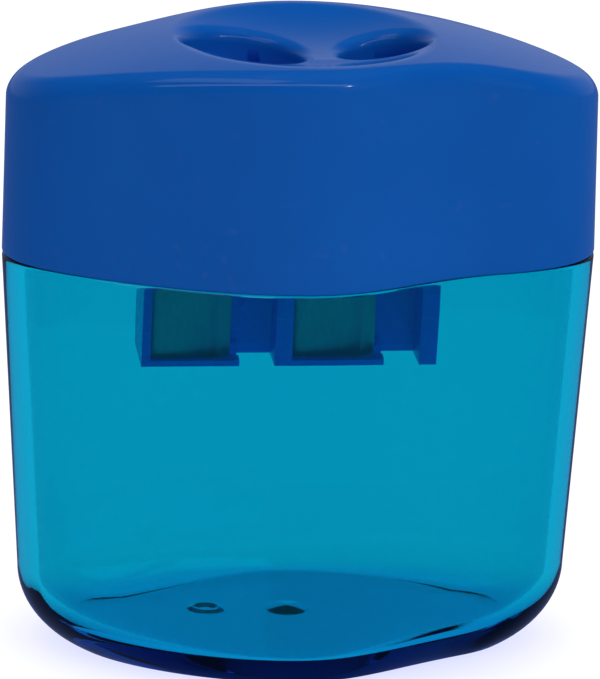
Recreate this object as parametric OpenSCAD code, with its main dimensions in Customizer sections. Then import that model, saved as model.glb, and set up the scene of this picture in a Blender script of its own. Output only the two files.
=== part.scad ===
// Canister pencil sharpener with two holes, in millimetres.
// A clear canister carries a lift-off lid. A sharpener block with two blades sits under the lid.
// X runs along the oval, Y across it and Z up. The origin is the middle of the foot.

/* [Outline] */
// Length of the oval at the seam between canister and lid
oval_length = 60; // [54:1:66]
// Half depth of the plain oval, before the crowns
oval_bow = 10.6; // [9.5:0.1:12]
// How square the plain oval is, where 2 is an ellipse
oval_power = 3.6; // [2.5:0.1:5]
// How far the crown in the middle of each broad side stands out
crown_rise = 6.05; // [4:0.05:7]
// Distance over which a crown falls away on its steep flank
steep_flank = 19; // [16:0.5:22]
// Distance over which a crown falls away on its gentle flank
gentle_flank = 30; // [26:0.5:34]
// Points round the oval
outline_points = 72; // [36:4:96]

/* [Canister] */
// Height of the seam above the foot
seam_height = 41; // [38:0.5:46]
// Wall thickness of the canister
canister_wall = 2.1; // [1.8:0.1:2.4]
// Thickness of the canister's floor
canister_floor = 2.4; // [1.8:0.1:3]
// Size of the foot as a share of the seam, along the oval
foot_share_length = 0.938; // [0.9:0.002:1]
// Size of the foot as a share of the seam, across the oval
foot_share_depth = 0.98; // [0.94:0.005:1]
// How much further the flanks of the crowns reach at the foot than at the seam
foot_flank_ease = 4.5; // [0:0.5:6]
// How far the foot's rounding runs in along the oval
foot_round_length = 10.5; // [8:0.1:11]
// How far the foot's rounding runs in across the oval
foot_round_depth = 3.4; // [3:0.1:5]
// How high the foot's rounding reaches
foot_round_height = 7.9; // [6:0.1:9]
// Height of the rim that stands up inside the lid
rim_height = 4; // [3:0.5:6]

/* [Lid] */
// Height of the lid above the seam, in the middle
lid_height = 23.2; // [21:0.2:26]
// Wall thickness of the lid
lid_wall = 1.2; // [1:0.1:1.3]
// Thickness of the lid's top
lid_top_wall = 2; // [1.8:0.1:2.4]
// Size of the lid's top as a share of the seam
lid_draft = 0.991; // [0.98:0.001:1]
// Fall of the lid's top along the oval, in mm for each square mm
lid_arch = 0.0059; // [0.004:0.0001:0.007]
// Fall of the lid's top across the oval, in mm for each square mm
lid_dome = 0.0042; // [0.002:0.0001:0.005]
// Radius of the lid's top edge
lid_round = 1.9; // [1.5:0.1:2.4]
// Bevel at the lid's lower edge, which shows as the groove of the seam
seam_bevel = 0.35; // [0.2:0.05:0.5]
// Gap between the lid's wall and the canister's rim
rim_gap = 0.1; // [0.1:0.05:0.2]
// Radius of the round dish in the lid's top
dish_radius = 13.3; // [13:0.1:13.6]
// Depth of the dish in the middle
dish_depth = 2.9; // [2.6:0.1:3.2]

/* [Pencil holes] */
// Distance of the large hole's axis from the middle
large_hole_place = -6.2; // [-6.6:0.1:-6]
// Radius of the large guide bore
large_bore_radius = 5.8; // [5.6:0.1:5.9]
// Radius of the large cone's open tip
large_tip_radius = 0.8; // [0.6:0.1:1]
// Distance of the small hole's axis from the middle
small_hole_place = 7.9; // [7.6:0.1:8.2]
// Radius of the small guide bore
small_bore_radius = 4.1; // [4:0.1:4.3]
// Radius of the small cone's open tip
small_tip_radius = 0.6; // [0.5:0.1:0.8]
// Half angle of the sharpening cones, in degrees
cone_angle = 12; // [11:0.5:12.5]
// How much wider the lid's holes are than the guide bores, on the radius
mouth_gap = 0.2; // [0.1:0.05:0.3]
// Width of the bevel round each mouth in the dish
mouth_bevel = 1; // [0.6:0.1:1.2]

/* [Sharpener block] */
// Left end of the block
block_left = -15.7; // [-16:0.1:-15.6]
// Right end of the block
block_right = 13.6; // [12.8:0.1:14]
// How far the block hangs below the seam
block_drop = 11.4; // [10:0.2:12]
// Height of the block's flat top above the seam
block_top_rise = 17.5; // [17:0.1:18]
// Distance of the block's back face from the hole axes, at the top
block_back = 6.9; // [6.6:0.1:7.2]
// Distance of the block's back face from the hole axes, at the bottom
block_heel = 6.2; // [5.5:0.1:6.6]
// How far the front face stands in front of the blade seats
seat_depth = 1.1; // [0.9:0.1:1.4]
// Height of the ledge under each blade
blade_ledge = 0.9; // [0.6:0.1:1.2]
// How far each ledge runs on past the cutting edge
ledge_reach = 0.9; // [0.5:0.1:1.2]
// Width of the large hole's chip slot, right of its axis
large_slot_width = 3.8; // [3.2:0.1:4]
// Width of the small hole's chip slot, right of its axis
small_slot_width = 3.9; // [3.2:0.1:4]
// Depth of each chip slot behind the blade's seat
slot_depth = 3.4; // [3:0.1:3.8]
// Height of each chip slot, which is open at the block's bottom
slot_height = 22; // [18:0.5:23]

/* [Blades and screws] */
// Length of a blade
blade_length = 24; // [22:0.5:24]
// Width of a blade
blade_width = 8; // [7:0.1:8]
// Thickness of a blade
blade_thickness = 0.5; // [0.4:0.05:0.6]
// Width of the ground bevel at the cutting edge
blade_bevel = 1.4; // [1:0.1:1.8]
// Distance of the cutting edge to the left of the hole's axis
edge_offset = 0.6; // [0.4:0.1:0.8]
// Radius of the screw's shank
screw_radius = 1; // [0.8:0.1:1.1]
// Radius of the screw's head
screw_head_radius = 2; // [1.8:0.1:2.2]
// Height of the screw's head
screw_head_height = 1; // [0.8:0.1:1.2]
// How deep the screw goes into the block
screw_depth = 4; // [3.5:0.1:4.2]

/* [Hidden] */

smooth = 96;
fine = 48;
overlap = 0.01;
past = 10;
crown_offset = 0.3;
crown_fade = 3;
round_steps = 5;
cap_steps = 4;
top_height = seam_height + lid_height;
rim_inset = lid_wall + rim_gap;
rim_chamfer = 0.3;
shoulder_round = 0.4;
block_bottom = seam_height - block_drop;
block_top = seam_height + block_top_rise;
collar_wall = 1.6;
collar_drop = 5.5;
collar_gap = 0.1;
collar_plate = 3;
boss_radius = 15;
boss_rise = 3.9;
dish_sink = dish_depth - (lid_arch + lid_dome) / 2 * pow(dish_radius, 2);
dish_sphere = (pow(dish_radius, 2) + pow(dish_sink, 2)) / (2 * dish_sink);
dish_floor = top_height - dish_depth;
cone_run_out = 1;
screw_share = 0.575;
seat_screw_x = edge_offset + blade_width * screw_share;
seat_screw_z = 12.5;
blade_hole_gap = 0.3;
blade_hole_radius = screw_radius + blade_hole_gap;
head_side_share = 0.6;
head_top_share = 0.7;
recess_width = 0.5;
recess_length = 2.6;
recess_depth = 0.6;

// One point of the oval at angle t, drawn in by inset, with flanks that reach further by ease.
// Each broad side is a squared oval with a crown that falls steeply one way and gently the other.
function oval_point(t, inset, ease) =
    let (
        half = oval_length / 2 - inset,
        bow = oval_bow - inset,
        side = sin(t) >= 0 ? 1 : -1,
        across = side * half * cos(t) - crown_offset,
        reach = ease + (across < 0 ? steep_flank : gentle_flank),
        turn = max(-1, min(1, across / reach)),
        shell = sqrt(max(0, 1 - pow(abs(cos(t)), oval_power))),
        crown = crown_rise / 2 * (1 + cos(180 * turn)) * min(1, shell * crown_fade)
    )
    [half * cos(t), side * (bow * shell + crown)];

// The oval as a list of points, shrunk to the two shares and drawn in by inset
function oval(inset, share_x = 1, share_y = 1, ease = 0) = [
    for (i = [0 : outline_points - 1])
        let (p = oval_point(360 * i / outline_points, inset, ease))
        [p[0] * share_x, p[1] * share_y]
];

// A level ring of points at height z
function level(points, z) = [for (p = points) [p[0], p[1], z]];

// A ring that follows the arched top, lowered by drop
function arched(points, drop) = [
    for (p = points)
        [p[0], p[1], top_height - drop - lid_arch * pow(p[0], 2) - lid_dome * pow(p[1], 2)]
];

// One ring of the canister at height z on its tapered wall, drawn in by inset
function wall_ring(z, inset) =
    let (share = (seam_height - z) / (seam_height - foot_round_height))
    level(
        oval(
            inset,
            1 - (1 - foot_share_length) * share,
            1 - (1 - foot_share_depth) * share,
            foot_flank_ease * share
        ),
        z
    );

// Rings of the rounded foot, from its flat at height low up to the wall, for a wall drawn in by inset
function foot_rings(low, inset) = [
    for (i = [0 : round_steps - 1])
        let (
            turn = 90 * i / round_steps,
            share_x = foot_share_length - (foot_round_length - inset) * (1 - sin(turn)) * 2 / oval_length,
            share_y = foot_share_depth
                - (foot_round_depth - inset) * (1 - sin(turn)) / (oval_bow + crown_rise)
        )
        level(
            oval(inset, share_x, share_y, foot_flank_ease),
            low + (foot_round_height - low) * (1 - cos(turn))
        )
];

// The list in the opposite order
function backwards(list) = [for (i = [len(list) - 1 : -1 : 0]) list[i]];

// The mean of a ring's points
function middle(ring) = [
    0,
    0,
    [for (p = ring) p[2]] * [for (p = ring) 1] / len(ring)
];

// A closed skin over a list of rings, with a fan at each end
module loft(rings) {
    n = len(rings[0]);
    last = len(rings) - 1;
    points = concat([for (ring = rings) each ring], [middle(rings[0]), middle(rings[last])]);
    low_cap = [for (i = [0 : n - 1]) [n * (last + 1), i, (i + 1) % n]];
    high_cap = [for (i = [0 : n - 1]) [n * (last + 1) + 1, n * last + (i + 1) % n, n * last + i]];
    skin = [
        for (j = [0 : last - 1], i = [0 : n - 1])
            each [
                [n * j + i, n * (j + 1) + (i + 1) % n, n * j + (i + 1) % n],
                [n * j + i, n * (j + 1) + i, n * (j + 1) + (i + 1) % n]
            ]
    ];
    polyhedron(points = points, faces = concat(low_cap, skin, high_cap), convexity = 6);
}

// Places children on the seat of a blade: X across the seat, -Y out of the block, Z up the cone's side
module on_seat(place, tip_radius) {
    translate([place, -tip_radius, block_bottom])
        rotate([cone_angle, 0, 0])
            children();
}

// Clear cup with a rounded foot and a rim that stands up inside the lid
module canister() {
    rim_top = seam_height + rim_height;
    outside = concat(
        foot_rings(0, 0),
        [
            wall_ring(foot_round_height, 0),
            wall_ring(seam_height / 2, 0),
            wall_ring(seam_height - shoulder_round, 0),
            wall_ring(seam_height, shoulder_round),
            level(oval(rim_inset), seam_height),
            level(oval(rim_inset), rim_top - rim_chamfer),
            level(oval(rim_inset + rim_chamfer), rim_top)
        ]
    );
    inside = concat(
        foot_rings(canister_floor, canister_wall),
        [
            wall_ring(foot_round_height, canister_wall),
            wall_ring(seam_height / 2, canister_wall),
            wall_ring(seam_height, canister_wall),
            level(oval(canister_wall), rim_top)
        ]
    );
    color([0.01, 0.55, 0.69, 0.5])
        loft(concat(outside, backwards(inside)));
}

// Bore of a pencil hole through the lid, with the bevel round its mouth
module mouth(place, bore_radius) {
    translate([place, 0, block_top - overlap])
        cylinder(r = bore_radius + mouth_gap, h = past, $fn = smooth);
    translate([place, 0, dish_floor - mouth_bevel / 2])
        cylinder(
            r1 = bore_radius + mouth_gap,
            r2 = bore_radius + mouth_gap + mouth_bevel * 2,
            h = mouth_bevel * 2,
            $fn = smooth
        );
}

// Opaque cap with an arched top, a round dish, two mouths and a collar for the block
module lid() {
    shell_inside = concat(
        [for (i = [1 : cap_steps - 1]) arched(oval(lid_wall, i / cap_steps, i / cap_steps), lid_top_wall)],
        [
            arched(oval(lid_wall + lid_round / 2, lid_draft, lid_draft), lid_top_wall),
            arched(oval(lid_wall, lid_draft, lid_draft), lid_top_wall + lid_round / 2),
            level(oval(lid_wall), seam_height)
        ]
    );
    shell_outside = concat(
        [level(oval(seam_bevel), seam_height), level(oval(0), seam_height + seam_bevel)],
        [
            for (i = [0 : round_steps])
                let (turn = 90 * i / round_steps)
                arched(
                    oval(lid_round * (1 - cos(turn)), lid_draft, lid_draft),
                    lid_round * (1 - sin(turn))
                )
        ],
        [
            for (i = [cap_steps - 1 : -1 : 1])
                arched(oval(lid_round, i / cap_steps, i / cap_steps), 0)
        ]
    );
    collar_left = block_left - collar_gap - collar_wall;
    collar_length = block_right - block_left + 2 * (collar_gap + collar_wall);
    collar_front = block_front(block_top) - collar_gap - collar_wall;
    collar_depth = block_back - block_front(block_top) + 2 * (collar_gap + collar_wall);
    color([0.06, 0.30, 0.62])
        difference() {
            union() {
                loft(concat(shell_inside, shell_outside));
                translate([0, 0, block_top])
                    cylinder(r = boss_radius, h = boss_rise, $fn = smooth);
                difference() {
                    translate([collar_left, collar_front, block_top - collar_drop])
                        cube([collar_length, collar_depth, collar_drop + collar_plate]);
                    translate([
                        collar_left + collar_wall,
                        collar_front + collar_wall,
                        block_top - collar_drop - past
                    ])
                        cube([
                            collar_length - 2 * collar_wall,
                            collar_depth - 2 * collar_wall,
                            collar_drop + past
                        ]);
                }
            }
            translate([0, 0, dish_floor + dish_sphere])
                sphere(r = dish_sphere, $fn = smooth);
            mouth(large_hole_place, large_bore_radius);
            mouth(small_hole_place, small_bore_radius);
        }
}

// Place of the block's front face at height z, in Y
function block_front(z) =
    -large_tip_radius - seat_depth / cos(cone_angle) - (z - block_bottom) * tan(cone_angle);

// Guide bore and cone of one pencil hole, open at the tip, as one turned shape
module pencil_hole(place, bore_radius, tip_radius) {
    cone_height = (bore_radius - tip_radius) / tan(cone_angle);
    point_radius = tip_radius - cone_run_out * tan(cone_angle);
    translate([place, 0, block_bottom])
        rotate_extrude($fn = smooth)
            polygon([
                [0, -cone_run_out],
                [point_radius, -cone_run_out],
                [bore_radius, cone_height],
                [bore_radius, block_top - block_bottom + past],
                [0, block_top - block_bottom + past]
            ]);
}

// Pocket for a blade, its screw hole and the chip slot beside its cutting edge
module blade_seat(place, tip_radius, slot_width) {
    on_seat(place, tip_radius) {
        translate([-edge_offset - blade_width, -past, blade_ledge])
            cube([blade_width + overlap, past, blade_length + past]);
        translate([-edge_offset, -past, blade_ledge])
            cube([edge_offset + slot_width, past + slot_depth, slot_height - blade_ledge]);
        translate([-edge_offset + ledge_reach, -past, -past])
            cube([
                edge_offset - ledge_reach + slot_width,
                past + slot_depth,
                past + blade_ledge + overlap
            ]);
        translate([-seat_screw_x, -overlap, seat_screw_z])
            rotate([-90, 0, 0])
                cylinder(r = screw_radius, h = screw_depth + overlap, $fn = fine);
    }
}

// Wedge-shaped moulding that guides both pencils and carries the blades
module sharpener_block() {
    color([0.08, 0.24, 0.55])
        difference() {
            translate([block_left, 0, 0])
                rotate([90, 0, 90])
                    linear_extrude(block_right - block_left)
                        polygon([
                            [block_front(block_bottom), block_bottom],
                            [block_heel, block_bottom],
                            [block_back, block_top],
                            [block_front(block_top), block_top]
                        ]);
            pencil_hole(large_hole_place, large_bore_radius, large_tip_radius);
            pencil_hole(small_hole_place, small_bore_radius, small_tip_radius);
            blade_seat(large_hole_place, large_tip_radius, large_slot_width);
            blade_seat(small_hole_place, small_tip_radius, small_slot_width);
        }
}

// Ground steel strip with a bevelled cutting edge and a screw hole
module blade(place, tip_radius) {
    color([0.62, 0.65, 0.66])
        on_seat(place, tip_radius)
            difference() {
                translate([-edge_offset, 0, blade_ledge])
                    linear_extrude(blade_length)
                        polygon([
                            [0, 0],
                            [-blade_width, 0],
                            [-blade_width, -blade_thickness],
                            [-blade_bevel, -blade_thickness]
                        ]);
                translate([-seat_screw_x, overlap, seat_screw_z])
                    rotate([90, 0, 0])
                        cylinder(r = blade_hole_radius, h = blade_thickness + 2 * overlap, $fn = fine);
            }
}

// Screw with a cross recess that holds a blade down
module blade_screw(place, tip_radius) {
    color([0.70, 0.70, 0.68])
        on_seat(place, tip_radius)
            translate([-seat_screw_x, -blade_thickness, seat_screw_z])
                rotate([90, 0, 0])
                    difference() {
                        union() {
                            cylinder(
                                r = screw_head_radius,
                                h = screw_head_height * head_side_share,
                                $fn = fine
                            );
                            translate([0, 0, screw_head_height * head_side_share - overlap])
                                cylinder(
                                    r1 = screw_head_radius,
                                    r2 = screw_head_radius * head_top_share,
                                    h = screw_head_height * (1 - head_side_share) + overlap,
                                    $fn = fine
                                );
                            translate([0, 0, -blade_thickness - screw_depth + 2 * overlap])
                                cylinder(
                                    r = screw_radius,
                                    h = blade_thickness + screw_depth,
                                    $fn = fine
                                );
                        }
                        for (turn = [0, 90])
                            rotate([0, 0, turn])
                                translate([
                                    -recess_length / 2,
                                    -recess_width / 2,
                                    screw_head_height - recess_depth
                                ])
                                    cube([recess_length, recess_width, recess_depth + overlap]);
                    }
}

module large_blade() {
    blade(large_hole_place, large_tip_radius);
}

module small_blade() {
    blade(small_hole_place, small_tip_radius);
}

module large_blade_screw() {
    blade_screw(large_hole_place, large_tip_radius);
}

module small_blade_screw() {
    blade_screw(small_hole_place, small_tip_radius);
}

canister();
lid();
sharpener_block();
large_blade();
small_blade();
large_blade_screw();
small_blade_screw();
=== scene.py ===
"""Canister pencil sharpener: clear cup, blue lift-off lid, sharpener block, two blades and two screws.

The shapes below are worked out in millimetres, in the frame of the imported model, and written to the
meshes in metres. X runs along the oval, Y across it, Z up, and the origin is the middle of the foot.
"""

import math

import bmesh
import bpy
from mathutils import Matrix, Vector
from mathutils.geometry import delaunay_2d_cdt


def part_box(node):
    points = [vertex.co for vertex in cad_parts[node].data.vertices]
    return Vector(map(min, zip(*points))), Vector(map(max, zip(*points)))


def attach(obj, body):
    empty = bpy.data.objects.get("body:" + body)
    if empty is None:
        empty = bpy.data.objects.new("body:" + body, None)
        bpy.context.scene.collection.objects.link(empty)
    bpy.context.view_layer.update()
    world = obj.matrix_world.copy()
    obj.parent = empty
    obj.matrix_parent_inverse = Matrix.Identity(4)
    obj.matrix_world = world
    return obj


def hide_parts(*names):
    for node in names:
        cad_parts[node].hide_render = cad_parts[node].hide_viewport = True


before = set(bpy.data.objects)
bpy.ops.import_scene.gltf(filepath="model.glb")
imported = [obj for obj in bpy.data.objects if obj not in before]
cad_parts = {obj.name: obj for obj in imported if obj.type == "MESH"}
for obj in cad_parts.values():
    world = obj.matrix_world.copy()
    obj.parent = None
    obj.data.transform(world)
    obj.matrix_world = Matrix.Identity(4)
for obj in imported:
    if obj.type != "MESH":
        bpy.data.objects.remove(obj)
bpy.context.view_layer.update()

MM = 0.001

# Oval outline: a squared oval, with a crown on each broad side that is steep one way
HALF_LENGTH = (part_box("canister")[1].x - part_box("canister")[0].x) / MM / 2
OVAL_BOW = 10.6
OVAL_POWER = 3.6
CROWN_RISE = 6.05
STEEP_FLANK = 19
GENTLE_FLANK = 30
CROWN_OFFSET = 0.3
CROWN_FADE = 3
ROUND_POINTS = 288

# Canister: the foot's shares are of the outline's length and depth
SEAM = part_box("lid")[0].z / MM
RIM_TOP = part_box("canister")[1].z / MM
CUP_WALL = 2.1
CUP_FLOOR = 2.4
FOOT_SHARE = (0.938, 0.98)
FOOT_ROUND = (10.5, 3.4)
FOOT_RISE = 7.9
FOOT_START = math.radians(28)
FOOT_STEPS = 18
FLANK_EASE = 4.5
SHOULDER_ROUND = 0.4
RIM_INSET = 1.3
RIM_ROUND = 0.3
RIM_STEPS = 6
WALL_STEPS = 12
FLOOR_STEPS = 72

# Fillet at the foot of the rim: how far out of the rim and how far above the shoulder each ring is
RIM_FILLET = ((0.3, 0), (0.1, 0.03), (0, 0.12))

# Marks on the cup's floor: a low gate stub and a moulded ring
MARK_ROW = 1.4
STUB = {"place": -0.2, "radius": 2.3, "tip": 0.3, "height": 0.42}
RING_MARK = {"place": -8.4, "radius": 1.3, "width": 0.7, "height": 0.25}

# Lid
LID_HEIGHT = 23.2
TOP = SEAM + LID_HEIGHT
LID_WALL = 1.2
LID_TOP_WALL = 2
LID_DRAFT = 0.991
LID_ARCH = 0.0059
LID_DOME = 0.0042
LID_ROUND = 1.9
LID_INNER_ROUND = 1
EDGE_STEPS = 14
TOP_STEPS = 24
SEAM_BEVEL = 0.35
HOLLOW_BEVEL = 0.3
DISH_RADIUS = 13.3
DISH_DEPTH = 2.9
DISH_SOFT = 0.3
BOSS_RADIUS = 15
COLLAR_WALL = 1.6
COLLAR_DROP = 5.5
COLLAR_RISE = 3
COLLAR_GAP = 0.1
COLLAR_ROUND = 0.5

# Pencil holes: place along X, guide bore, open tip of the cone and width of the chip slot
LARGE = {"place": -6.2, "bore": 5.8, "tip": 0.8, "slot": 3.8}
SMALL = {"place": 7.9, "bore": 4.1, "tip": 0.6, "slot": 3.9}
HOLES = (LARGE, SMALL)
CONE = math.radians(12)
MOUTH_GAP = 0.2
MOUTH_ROUND = 1.2

# Sharpener block
BLOCK_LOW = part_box("sharpener_block")[0] / MM
BLOCK_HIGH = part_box("sharpener_block")[1] / MM
BLOCK_HEEL = 6.2
BLOCK_ROUND = 0.22
SEAT_DEPTH = 1.1
SEAT_TOP = 40
BLADE_LEDGE = 0.9
LEDGE_REACH = 0.9
SLOT_DEPTH = 3.4
SLOT_HEIGHT = 22

# Blades and screws
EDGE_OFFSET = 0.6
BLADE_LENGTH = 24
BLADE_WIDTH = 8
BLADE_THICKNESS = 0.5
BLADE_BEVEL = 1.4
BLADE_HOLE_GAP = 0.3
BLADE_ROUND = 0.04
SCREW_SHARE = 0.575
SCREW_ACROSS = EDGE_OFFSET + BLADE_WIDTH * SCREW_SHARE
SCREW_UP = 12.5
SCREW_RADIUS = 1
SCREW_DEPTH = 4
HEAD_RADIUS = 2
HEAD_HEIGHT = 1
HEAD_DOME_SHARE = 2.6
RECESS_LENGTH = 2.6
RECESS_WIDTH = 0.55
RECESS_DEPTH = 0.6
SCREW_ROUND = 0.05

# How far a cutting shape reaches past what it cuts, sideways or up and downwards, and how far one
# overlaps the next
PAST = 10
BELOW = 1
OVERLAP = 0.01


# --- Outlines -------------------------------------------------------------------------------------

def oval_point(turn, inset, share):
    """The point of the oval at angle turn, drawn in by inset and then shrunk to share."""
    half = HALF_LENGTH - inset
    bow = OVAL_BOW - inset
    side = 1 if math.sin(turn) >= 0 else -1
    across = side * half * math.cos(turn) - CROWN_OFFSET
    reach = STEEP_FLANK if across < 0 else GENTLE_FLANK
    along = max(-1, min(1, across / reach))
    shell = math.sqrt(max(0, 1 - abs(math.cos(turn)) ** OVAL_POWER))
    crown = CROWN_RISE / 2 * (1 + math.cos(math.pi * along)) * min(1, shell * CROWN_FADE)
    return half * math.cos(turn) * share, side * (bow * shell + crown) * share


def oval(inset=0, share=1):
    return [oval_point(math.tau * i / ROUND_POINTS, inset, share) for i in range(ROUND_POINTS)]


def level(points, z):
    return [(x, y, z) for x, y in points]


def arch(x, y):
    """Height of the lid's top before the dish and the mouths are cut."""
    return TOP - LID_ARCH * x * x - LID_DOME * y * y


def arched(points, drop=0):
    return [(x, y, arch(x, y) - drop) for x, y in points]


def circle(radius, count, centre=0):
    steps = [math.tau * i / count for i in range(count)]
    return [(centre + radius * math.cos(t), radius * math.sin(t)) for t in steps]


def shares(count):
    """Even steps from 0 to 1, both ends included."""
    return [i / count for i in range(count + 1)]


def quarter_turns(count):
    """Even angles from 0 to a quarter turn, both ends included."""
    return [share * math.pi / 2 for share in shares(count)]


def smooth_step(share):
    share = max(0, min(1, share))
    return share * share * (3 - 2 * share)


# --- Meshes ---------------------------------------------------------------------------------------

class Shape:
    """Points in millimetres and faces, gathered and then welded into one closed mesh."""

    def __init__(self):
        self.points = []
        self.faces = []

    def add(self, points, faces):
        start = len(self.points)
        self.points += points
        self.faces += [[start + i for i in face] for face in faces]

    def skin(self, rings):
        """Faces between one ring and the next."""
        n = len(rings[0])
        self.add(
            [point for ring in rings for point in ring],
            [
                (j * n + i, j * n + (i + 1) % n, (j + 1) * n + (i + 1) % n, (j + 1) * n + i)
                for j in range(len(rings) - 1)
                for i in range(n)
            ],
        )

    def fan(self, ring, centre):
        """Faces from a ring to one point in its middle."""
        n = len(ring)
        self.add([*ring, centre], [(i, (i + 1) % n, n) for i in range(n)])

    def patch(self, border, holes, inside, height):
        """Triangles over a level area with round holes, lifted to height(x, y)."""
        points = []
        edges = []
        for loop in (border, *holes):
            start = len(points)
            points += loop
            edges += [(start + i, start + (i + 1) % len(loop)) for i in range(len(loop))]
        rims = range(len(border), len(points))
        points += inside
        _, _, faces, sources, *_ = delaunay_2d_cdt([Vector(p) for p in points], edges, [], 4, 1e-5)
        origin = [source[0] for source in sources]
        faces = [face for face in faces if not all(origin[i] in rims for i in face)]
        self.add([(points[i][0], points[i][1], height(*points[i])) for i in origin], faces)

    def piece(self, name, weld=1e-4):
        """An object with the welded mesh, in metres, its faces turned outwards."""
        mesh = bpy.data.meshes.new(name)
        mesh.from_pydata([Vector(p) for p in self.points], [], self.faces)
        body = bmesh.new()
        body.from_mesh(mesh)
        bmesh.ops.remove_doubles(body, verts=body.verts, dist=weld)
        bmesh.ops.dissolve_degenerate(body, edges=body.edges, dist=weld)
        bmesh.ops.recalc_face_normals(body, faces=body.faces)
        bmesh.ops.scale(body, vec=(MM, MM, MM), verts=body.verts)
        body.to_mesh(mesh)
        body.free()
        made = bpy.data.objects.new(name, mesh)
        bpy.context.scene.collection.objects.link(made)
        return made


def box_shape(low, high, turn=None, name="block_cut"):
    """A plain box between two corners in millimetres, moved by turn, for use in a cut."""
    shape = Shape()
    turn = turn or Matrix()
    shape.add(
        [
            tuple(turn @ Vector((x, y, z)))
            for x in (low[0], high[0])
            for y in (low[1], high[1])
            for z in (low[2], high[2])
        ],
        [(0, 1, 3, 2), (4, 6, 7, 5), (0, 4, 5, 1), (2, 3, 7, 6), (0, 2, 6, 4), (1, 5, 7, 3)],
    )
    return shape.piece(name)


def turned_shape(profile, place, count=128, name="bore_cut"):
    """A shape turned round a vertical axis, from a list of (radius, height)."""
    shape = Shape()
    rings = [level(circle(radius, count, place), z) for radius, z in profile]
    shape.skin(rings)
    shape.fan(rings[0], (place, 0, profile[0][1]))
    shape.fan(rings[-1], (place, 0, profile[-1][1]))
    return shape.piece(name)


def apply_modifiers(made):
    """Leaves the object's mesh as its modifiers show it."""
    graph = bpy.context.evaluated_depsgraph_get()
    mesh = bpy.data.meshes.new_from_object(made.evaluated_get(graph))
    made.modifiers.clear()
    made.data = mesh
    return made


def combine(made, other, operation):
    """Cuts, joins or meets made with other, which is used up."""
    for one in (made, other):
        body = bmesh.new()
        body.from_mesh(one.data)
        if any(len(edge.link_faces) != 2 for edge in body.edges):
            raise ValueError(f"{one.name} has an open edge, so it can't be cut or joined")
        body.free()
    step = made.modifiers.new("combine", "BOOLEAN")
    step.operation = operation
    step.solver = "MANIFOLD"
    step.object = other
    apply_modifiers(made)
    bpy.data.objects.remove(other)
    return made


def soften_edges(made, width, angle=30, segments=3):
    """Small rounding on every crease, as a mould leaves it."""
    step = made.modifiers.new("round", "BEVEL")
    step.width = width * MM
    step.segments = segments
    step.limit_method = "ANGLE"
    step.angle_limit = math.radians(angle)
    step.harden_normals = True
    return apply_modifiers(made)


def shade(made, angle):
    """Smooth shading, with a crease wherever the mesh turns by more than angle degrees."""
    made.data.shade_smooth()
    made.data.set_sharp_from_angle(angle=math.radians(angle))


# --- Nodes ----------------------------------------------------------------------------------------

def linear(colour):
    """An sRGB hex colour as the linear RGBA that a shader takes."""
    parts = [int(colour[i:i + 2], 16) / 255 for i in (1, 3, 5)]
    return (*[p / 12.92 if p <= 0.04045 else ((p + 0.055) / 1.055) ** 2.4 for p in parts], 1)


def add(tree, kind, inputs=None, **settings):
    """Adds a node with its settings. Each input is given a value, an output, a node whose first
    output it takes, or a list of nodes where it takes several."""
    made = tree.nodes.new(kind)
    for name, value in settings.items():
        setattr(made, name, value)
    for name, given in (inputs or {}).items():
        for value in given if isinstance(given, list) else [given]:
            if isinstance(value, bpy.types.Node):
                value = value.outputs[0]
            if isinstance(value, bpy.types.NodeSocket):
                tree.links.new(value, made.inputs[name])
            else:
                made.inputs[name].default_value = value
    return made


def start_tree(name, sizes):
    """A geometry tree that takes a mesh of points, one named size for each in sizes and a material."""
    tree = bpy.data.node_groups.new(name, "GeometryNodeTree")
    tree.interface.new_socket("Geometry", in_out="OUTPUT", socket_type="NodeSocketGeometry")
    tree.interface.new_socket("Points", in_out="INPUT", socket_type="NodeSocketGeometry")
    for size, value in sizes.items():
        kind = "NodeSocketInt" if isinstance(value, int) else "NodeSocketFloat"
        tree.interface.new_socket(size, in_out="INPUT", socket_type=kind)
    tree.interface.new_socket("Material", in_out="INPUT", socket_type="NodeSocketMaterial")
    return tree, add(tree, "NodeGroupInput").outputs


def end_tree(tree, given, instances):
    """Ends a tree with real geometry in the tree's material."""
    real = add(tree, "GeometryNodeRealizeInstances", {"Geometry": instances})
    dressed = add(tree, "GeometryNodeSetMaterial", {"Geometry": real, "Material": given["Material"]})
    add(tree, "NodeGroupOutput", {"Geometry": dressed})


def run_tree(name, tree, sizes, material, points, attributes=None):
    """Runs a tree on points, with a number for each point in attributes, and keeps the plain mesh."""
    mesh = bpy.data.meshes.new(name)
    mesh.from_pydata(points, [], [])
    for label, numbers in (attributes or {}).items():
        mesh.attributes.new(label, "FLOAT", "POINT").data.foreach_set("value", numbers)
    made = bpy.data.objects.new(name, mesh)
    bpy.context.scene.collection.objects.link(made)
    step = made.modifiers.new("grow", "NODES")
    step.node_group = tree
    for item in tree.interface.items_tree:
        if item.in_out == "INPUT" and item.name in sizes:
            step[item.identifier] = sizes[item.name]
        if item.name == "Material":
            step[item.identifier] = material
    return apply_modifiers(made)


# --- Canister -------------------------------------------------------------------------------------

def plain_ring(height, inset):
    """A ring of the cup: height, inset, shares of the outline's length and depth, and the ease by
    which its flanks reach further."""
    return height, inset, 1, 1, 0


def wall_ring(height, inset):
    """One ring of the tapered wall."""
    down = (SEAM - height) / (SEAM - FOOT_RISE)
    along, across = [1 - (1 - share) * down for share in FOOT_SHARE]
    return height, inset, along, across, FLANK_EASE * down


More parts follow.
